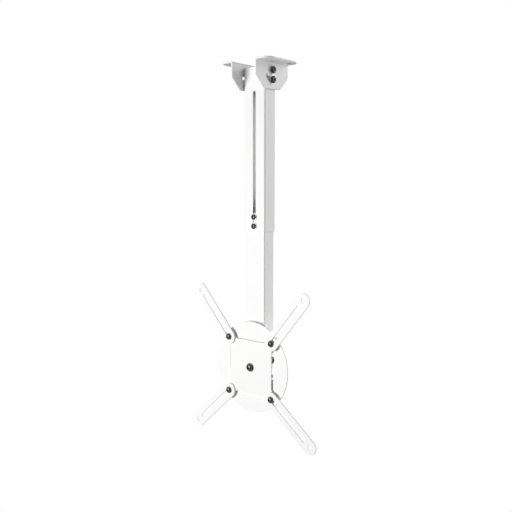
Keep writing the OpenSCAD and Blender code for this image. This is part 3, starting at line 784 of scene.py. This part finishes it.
# %% Thread tree
FULL_TURN = 2 * math.pi
THREAD_STEPS = 36
ROWS_PER_TURN = 8.0
FLANK_STEEPNESS, FLANK_START = 2.6, -0.15
GROOVE_PER_PITCH = 0.54
CHAMFER_PITCHES = 0.6


def cylinder(tree, sides, radius, depth, rows=1):
    return add_node(tree, "GeometryNodeMeshCylinder", {
        "Vertices": sides, "Side Segments": rows, "Radius": radius, "Depth": depth}).outputs[0]


def scaled_across(tree, at, share):
    """Points moved towards the Z axis, to a share of their distance from it."""
    return vector(tree, x=times(tree, at["X"], share), y=times(tree, at["Y"], share), z=at["Z"])


def make_thread():
    tree, sizes = new_tree("thread", {"Width": 8 * MM, "Length": 20 * MM, "Pitch": 1.25 * MM},
                           seated=False)
    length, pitch = sizes["Length"], sizes["Pitch"]
    radius = half(tree, sizes["Width"])
    rows = times(tree, over(tree, length, pitch), ROWS_PER_TURN)
    rod = cylinder(tree, THREAD_STEPS, radius, length, rows)
    at = coordinates(tree)
    turn_share = over(tree, maths(tree, "ARCTAN2", at["Y"], at["X"]), FULL_TURN)
    phase = minus(tree, over(tree, at["Z"], pitch), turn_share)
    ridge = maths(tree, "MULTIPLY_ADD", maths(tree, "PINGPONG", phase, 0.5), FLANK_STEEPNESS,
                  FLANK_START, clamp=True)
    groove = times(tree, minus(tree, 1.0, ridge), GROOVE_PER_PITCH)
    from_end = plus(tree, at["Z"], half(tree, length))
    chamfer = maths(tree, "SUBTRACT", CHAMFER_PITCHES, over(tree, from_end, pitch), clamp=True)
    depth = times(tree, maths(tree, "MAXIMUM", groove, chamfer), pitch)
    share = minus(tree, 1.0, over(tree, depth, radius))
    hand_out(tree, Mesh=reshaped(tree, rod, scaled_across(tree, at, share)))
    return tree


THREAD = make_thread()
print(THREAD.name, "with", THREAD_STEPS, "steps a turn")

# %% [markdown]
# The screws are button heads with a hexagon socket. The head is a sphere whose height is raised to a
# power below one, which makes the dome flat on top and steep at the rim, while everything under its
# equator is pressed flat into the bearing face. A six-sided prism cuts the socket and a shallow cone
# breaks its edge. The shank is plain near the head and threaded at the end. Keys and nuts are measured
# across their flats, which is the root of three times the distance from the centre to a corner.

# %% Screw tree
HEXAGON_SIDES = 6
FLATS_PER_CORNER_RADIUS = math.sqrt(3)
HEAD_STEPS, HEAD_ROWS = 48, 32
DOME_POWER = 0.62
SOCKET_SHARE = 0.58
MOUTH_WIDTH_SHARE, MOUTH_DEPTH_SHARE, MOUTH_SINK_SHARE = 1.3, 0.5, 0.36
SHANK_IN_HEAD_SHARE = 0.3


def cut(tree, body, *tools):
    node = add_node(tree, "GeometryNodeMeshBoolean", {"Mesh 1": body}, operation="DIFFERENCE")
    for tool in tools:
        tree.links.new(tool, node.inputs["Mesh 2"])
    return node.outputs[0]


def screw_head(tree, width, height, key_width):
    ball = add_node(tree, "GeometryNodeMeshUVSphere", {
        "Segments": HEAD_STEPS, "Rings": HEAD_ROWS, "Radius": 1.0}).outputs[0]
    at = coordinates(tree)
    radius = half(tree, width)
    rise = maths(tree, "POWER", maths(tree, "MAXIMUM", at["Z"], 0.0), DOME_POWER)
    places = vector(tree, x=times(tree, at["X"], radius), y=times(tree, at["Y"], radius),
                    z=times(tree, rise, height))
    dome = reshaped(tree, ball, places)
    key_radius = over(tree, key_width, FLATS_PER_CORNER_RADIUS)
    socket_depth = times(tree, height, SOCKET_SHARE)
    prism = cylinder(tree, HEXAGON_SIDES, key_radius, times(tree, socket_depth, 2.0))
    mouth = add_node(tree, "GeometryNodeMeshCone", {
        "Vertices": HEAD_STEPS, "Radius Top": times(tree, key_radius, MOUTH_WIDTH_SHARE),
        "Radius Bottom": 0.0, "Depth": times(tree, key_radius, MOUTH_DEPTH_SHARE)}).outputs[0]
    mouth_height = maths(tree, "MULTIPLY_ADD", key_radius, -MOUTH_SINK_SHARE, height)
    return cut(tree, dome, moved(tree, prism, z=height), moved(tree, mouth, z=mouth_height))


def make_screw_tree():
    tree, sizes = new_tree("socket_screw", {
        "Head Width": 14 * MM, "Head Height": 5 * MM, "Key Width": 5 * MM, "Shank Width": 8 * MM,
        "Length": 70 * MM, "Thread Length": 20 * MM, "Pitch": 1.25 * MM})
    length, thread_length = sizes["Length"], sizes["Thread Length"]
    head = screw_head(tree, sizes["Head Width"], sizes["Head Height"], sizes["Key Width"])
    plain = minus(tree, length, thread_length)
    inside = times(tree, sizes["Head Height"], SHANK_IN_HEAD_SHARE)
    rod = cylinder(tree, HEAD_STEPS, half(tree, sizes["Shank Width"]), plus(tree, plain, inside))
    thread = use_tree(tree, THREAD, Width=sizes["Shank Width"], Length=thread_length,
                      Pitch=sizes["Pitch"])
    thread_middle = maths(tree, "MULTIPLY_ADD", thread_length, 0.5, times(tree, length, -1.0))
    screw = joined(tree, head, moved(tree, rod, z=half(tree, minus(tree, inside, plain))),
                   moved(tree, thread, z=thread_middle))
    seat_and_finish(tree, sizes, screw)
    return tree


SCREW_TREE = make_screw_tree()
print(SCREW_TREE.name, "socket", SOCKET_SHARE, "of the head's height")

# %% [markdown]
# A nut is turned from a six-sided bar, so its corners end in small arcs. It starts as a round ring, as
# wide as the corners, with a fine mesh. Then one rule shapes it: a point that lies further out than the
# hexagon's side, or than the chamfer's cone at that height, is pulled in to it. The arcs come out by
# themselves, with no boolean. A lock nut adds a round collar, which holds a nylon ring.

# %% Nut trees
SIDE = math.radians(360 / HEXAGON_SIDES)
CHAMFER_SLOPE = math.tan(math.radians(60))
CHAMFER_START_SHARE = 0.96
NUT_STEPS = 72
NUT_SECTION_CUTS = 11
NUT_MERGE_WITHIN = 0.001 * MM
COLLAR_SINK_SHARE = 0.05
COLLAR_EDGE = 0.25 * MM


def make_hexagon():
    tree, sizes = new_tree("hexagon", {"Width": 13 * MM, "Bore Width": 8 * MM, "Height": 6 * MM},
                           seated=False)
    height = sizes["Height"]
    half_width = half(tree, sizes["Width"])
    corner_radius = over(tree, sizes["Width"], FLATS_PER_CORNER_RADIUS)
    bore_radius = half(tree, sizes["Bore Width"])
    path = circle(tree, NUT_STEPS, half(tree, plus(tree, corner_radius, bore_radius)))
    section = rectangle(tree, minus(tree, corner_radius, bore_radius), height)
    fine = add_node(tree, "GeometryNodeSubdivideCurve", {
        "Curve": section, "Cuts": NUT_SECTION_CUTS}).outputs[0]
    at = coordinates(tree)
    squares = (maths(tree, "POWER", at[axis], 2.0) for axis in ("X", "Y"))
    away = maths(tree, "SQRT", plus(tree, *squares))
    angle = maths(tree, "ARCTAN2", at["Y"], at["X"])
    from_side = minus(tree, maths(tree, "FLOORED_MODULO", angle, SIDE), SIDE / 2)
    side_radius = over(tree, half_width, maths(tree, "COSINE", from_side))
    from_end = minus(tree, half(tree, height), maths(tree, "ABSOLUTE", at["Z"]))
    cone_radius = maths(tree, "MULTIPLY_ADD", from_end, CHAMFER_SLOPE,
                   times(tree, half_width, CHAMFER_START_SHARE))
    limit = maths(tree, "MINIMUM", side_radius, cone_radius)
    share = maths(tree, "MINIMUM", over(tree, limit, away), 1.0)
    shaped = reshaped(tree, swept(tree, path, fine), scaled_across(tree, at, share))
    hand_out(tree, Mesh=moved(tree, merged(tree, shaped, NUT_MERGE_WITHIN), z=half(tree, height)))
    return tree


HEXAGON = make_hexagon()


def hexagon(tree, sizes, height):
    return use_tree(tree, HEXAGON, Width=sizes["Width"], Bore_Width=sizes["Bore Width"], Height=height)


def make_plain_nut_tree():
    tree, sizes = new_tree("plain_nut", {"Width": 13 * MM, "Bore Width": 8 * MM, "Height": 6 * MM})
    seat_and_finish(tree, sizes, hexagon(tree, sizes, sizes["Height"]))
    return tree


def make_lock_nut_tree():
    tree, sizes = new_tree("lock_nut", {
        "Width": 13 * MM, "Bore Width": 8 * MM, "Height": 8 * MM, "Hexagon Share": 0.72,
        "Collar Share": 0.88, "Insert Width": 9.6 * MM})
    hexagon_height = times(tree, sizes["Height"], sizes["Hexagon Share"])
    sunk = times(tree, sizes["Height"], COLLAR_SINK_SHARE)
    collar_height = plus(tree, minus(tree, sizes["Height"], hexagon_height), sunk)
    collar_width = times(tree, sizes["Width"], sizes["Collar Share"])
    collar = use_tree(tree, RING, Outer_Width=collar_width, Bore_Width=sizes["Insert Width"],
                      Thickness=collar_height, Edge=COLLAR_EDGE)
    raised = moved(tree, collar, z=minus(tree, hexagon_height, sunk))
    seat_and_finish(tree, sizes, joined(tree, hexagon(tree, sizes, hexagon_height), raised))
    return tree


PLAIN_NUT_TREE = make_plain_nut_tree()
LOCK_NUT_TREE = make_lock_nut_tree()
print(PLAIN_NUT_TREE.name, LOCK_NUT_TREE.name)

# %% [markdown]
# Every fastener now goes where the frame has it. The frame gives each one's box, and the box gives the
# seat: a screw's seat is its box's far face less the head. Screws of one size share their sizes, and
# each gets its own random spin from a fixed seed, because nobody tightens every key to the same angle.

# %% Screws
LARGE = {"Head_Width": 14 * MM, "Head_Height": 5 * MM, "Key_Width": 5 * MM, "Shank_Width": 8 * MM,
         "Pitch": 1.25 * MM}
SMALL = {"Head_Width": 11 * MM, "Head_Height": 4 * MM, "Key_Width": 4 * MM, "Shank_Width": 6 * MM,
         "Pitch": 1.0 * MM}
CROSS_THREAD, CENTRE_THREAD = 22 * MM, 8 * MM
CLAMP_THREAD, ARM_THREAD = 7 * MM, 3.5 * MM


def pair_along_z(node, width):
    """The heights of two equal round parts, one above the other, from their common box."""
    low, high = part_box(node)
    return low.z + width / 2, high.z - width / 2


def cross_screw(node, seed):
    low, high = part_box(node)
    seat = middle(node)
    seat.x = high.x - LARGE["Head_Height"]
    dress(node, SCREW_TREE, [seat], Turn=TO_RIGHT, Spin_Seed=seed, Most_Spin=FULL_TURN,
          Length=seat.x - low.x, Thread_Length=CROSS_THREAD, **LARGE)


def front_screws(node, seed, sizes, heights, thread_length):
    low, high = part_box(node)
    seat_y = low.y + sizes["Head_Height"]
    seats = [(middle(node).x, seat_y, z) for z in heights]
    dress(node, SCREW_TREE, seats, Turn=TO_FRONT, Spin_Seed=seed, Most_Spin=FULL_TURN,
          Length=high.y - seat_y, Thread_Length=thread_length, **sizes)


for seed, node in enumerate(("pivot_bolt", "lock_bolt", "head_pivot_bolt"), start=3):
    cross_screw(node, seed)
clamp_heights = pair_along_z("clamp_screws", SMALL["Head_Width"])
front_screws("clamp_screws", seed=11, sizes=SMALL, heights=clamp_heights, thread_length=CLAMP_THREAD)
front_screws("centre_screw", seed=12, sizes=LARGE, heights=[middle("centre_screw").z],
             thread_length=CENTRE_THREAD)
for seed, corner in enumerate(CORNERS, start=20):
    node = "arm_screw_" + corner
    front_screws(node, seed, SMALL, [middle(node).z], ARM_THREAD)
print("screws in place")

# %% [markdown]
# Washers and spacers sit as pairs on the cross bolts, one on each side of the column, or one under a
# front screw's head. The friction washer between disc and plate is a larger ring of the same kind.

# %% Washers and spacers
LARGE_BORE, SMALL_BORE = 8.5 * MM, 6.5 * MM
SMALL_WASHER, CENTRE_WASHER, FRICTION_WASHER = 12.5 * MM, 16 * MM, 44 * MM
WASHER_EDGE, CROSS_WASHER_EDGE, SPACER_EDGE, FRICTION_EDGE = 0.2 * MM, 0.25 * MM, 0.3 * MM, 0.1 * MM


def one_side_width(node):
    """The thickness of one of a pair of rings, from the points on the right of the column."""
    right = [corner.co.x for corner in frame["nodes"][node].data.vertices if corner.co.x > 0]
    return max(right) - min(right)


def cross_rings(node, edge):
    low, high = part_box(node)
    thickness = one_side_width(node)
    seats = [(x, middle(node).y, middle(node).z) for x in (high.x - thickness, low.x)]
    dress(node, RING_TREE, seats, Turn=TO_RIGHT, Outer_Width=high.z - low.z, Bore_Width=LARGE_BORE,
          Thickness=thickness, Edge=edge)


def front_rings(node, width, bore, heights, edge=WASHER_EDGE):
    low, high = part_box(node)
    seats = [(middle(node).x, high.y, z) for z in heights]
    dress(node, RING_TREE, seats, Turn=TO_FRONT, Outer_Width=width, Bore_Width=bore,
          Thickness=high.y - low.y, Edge=edge)


for node in ("pivot_washers", "lock_washers", "head_pivot_washers"):
    cross_rings(node, CROSS_WASHER_EDGE)
for node in ("pivot_spacers", "lock_spacers", "head_spacers"):
    cross_rings(node, SPACER_EDGE)
front_rings("clamp_washers", SMALL_WASHER, SMALL_BORE, pair_along_z("clamp_washers", SMALL_WASHER))
front_rings("centre_washer", CENTRE_WASHER, LARGE_BORE, [middle("centre_washer").z])
front_rings("friction_washer", FRICTION_WASHER, LARGE_BORE, [middle("friction_washer").z],
            edge=FRICTION_EDGE)
for corner in CORNERS:
    node = "arm_washer_" + corner
    front_rings(node, SMALL_WASHER, SMALL_BORE, [middle(node).z])
print("washers and spacers in place")

# %% [markdown]
# The lock nuts are on the left, opposite the heads, each with its nylon ring as a piece of its own. The
# centre nut is a thin one without a collar, and the press nuts are seen only from behind.

# %% Nuts
NUT_WIDTH, NUT_BORE = 13 * MM, 8 * MM
INSERT_WIDTH, INSERT_BORE, INSERT_EDGE = 9.6 * MM, 7.7 * MM, 0.2 * MM
INSERT_DEPTH_SHARE = 0.22
INSERT_RECESS = 0.3 * MM
CENTRE_NUT_SPIN = 0.3
PRESS_RIM_WIDTH, PRESS_BORE = 12 * MM, 6.12 * MM


def lock_nut(node, seed):
    low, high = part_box(node)
    seat = middle(node)
    seat.x = high.x
    height = high.x - low.x
    dress(node, LOCK_NUT_TREE, [seat], Turn=TO_LEFT, Spin_Seed=seed, Most_Spin=FULL_TURN,
          Width=NUT_WIDTH, Height=height, Insert_Width=INSERT_WIDTH, Bore_Width=NUT_BORE)
    depth = height * INSERT_DEPTH_SHARE
    insert_seat = Vector((low.x + depth + INSERT_RECESS, seat.y, seat.z))
    insert = grow(node + "_nylon_ring", RING_TREE, [insert_seat], "pale_nylon", Turn=TO_LEFT,
                  Outer_Width=INSERT_WIDTH, Bore_Width=INSERT_BORE, Thickness=depth, Edge=INSERT_EDGE)
    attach(insert, frame["nodes"][node]["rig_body"])


for seed, node in enumerate(("pivot_nut", "lock_nut", "head_pivot_nut"), start=40):
    lock_nut(node, seed)

low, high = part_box("centre_nut")
nut_seat = (middle("centre_nut").x, low.y, middle("centre_nut").z)
dress("centre_nut", PLAIN_NUT_TREE, [nut_seat], Turn=TO_BACK, Spin_Seed=50, Most_Spin=CENTRE_NUT_SPIN,
      Width=NUT_WIDTH, Height=high.y - low.y, Bore_Width=NUT_BORE)

low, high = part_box("press_nuts")
rim_radius = PRESS_RIM_WIDTH / 2
sheet_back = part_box("mounting_plate")[1].y
press_seats = [(x, sheet_back, z) for x in (low.x + rim_radius, high.x - rim_radius)
               for z in (low.z + rim_radius, high.z - rim_radius)]
dress("press_nuts", PRESS_NUT_TREE, press_seats, Turn=TO_FRONT, Barrel_Height=sheet_back - low.y,
      Rim_Height=high.y - sheet_back, Rim_Width=PRESS_RIM_WIDTH, Bore_Width=PRESS_BORE)
print("nuts in place")
